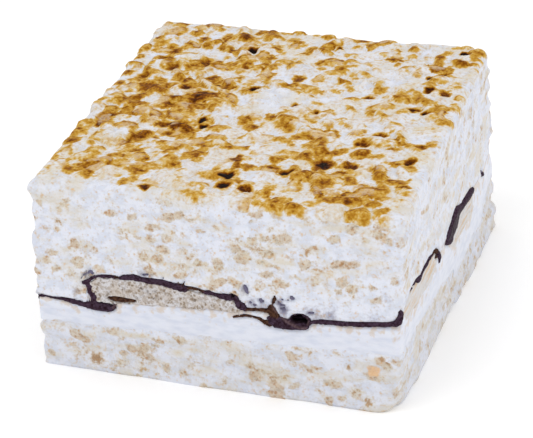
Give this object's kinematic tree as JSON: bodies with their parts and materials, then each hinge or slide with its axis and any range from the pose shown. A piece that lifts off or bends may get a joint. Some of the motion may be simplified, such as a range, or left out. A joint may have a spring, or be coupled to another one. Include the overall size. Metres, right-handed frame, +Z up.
{
  "type": "s'mores crispy rice treat",
  "caption": "Cut block of puffed rice and marshmallow with a torch-toasted top and a filling of graham cracker, melted chocolate and smooth marshmallow that shows at the cuts.",
  "frame": {"origin": "the middle of the bottom face, where the treat rests", "axes": "+Z up through the layers; -Y out of the front cut face, the wide one that shows the cracker and chocolate; +X to the right along it"},
  "size_m": [0.0869, 0.0915, 0.0486],
  "materials": {
    "crispy_rice": "puffed rice in cool white marshmallow, soft sheen",
    "toasted_crispy_rice": "puffed rice in white marshmallow, torch-browned blisters on top",
    "marshmallow": "smooth white marshmallow, soft sheen",
    "graham_cracker": "dry open crumb",
    "chocolate": "melted dark chocolate, semi-gloss"
  },
  "bodies": {
    "root": {"lower_crispy_block": "crispy_rice", "upper_crispy_block": "toasted_crispy_rice", "marshmallow_layer": "marshmallow", "graham_cracker_front": "graham_cracker", "graham_cracker_right": "graham_cracker", "graham_cracker_right_back": "graham_cracker", "graham_cracker_left_back": "graham_cracker", "chocolate_layer": "chocolate"}
  },
  "joints": []
}
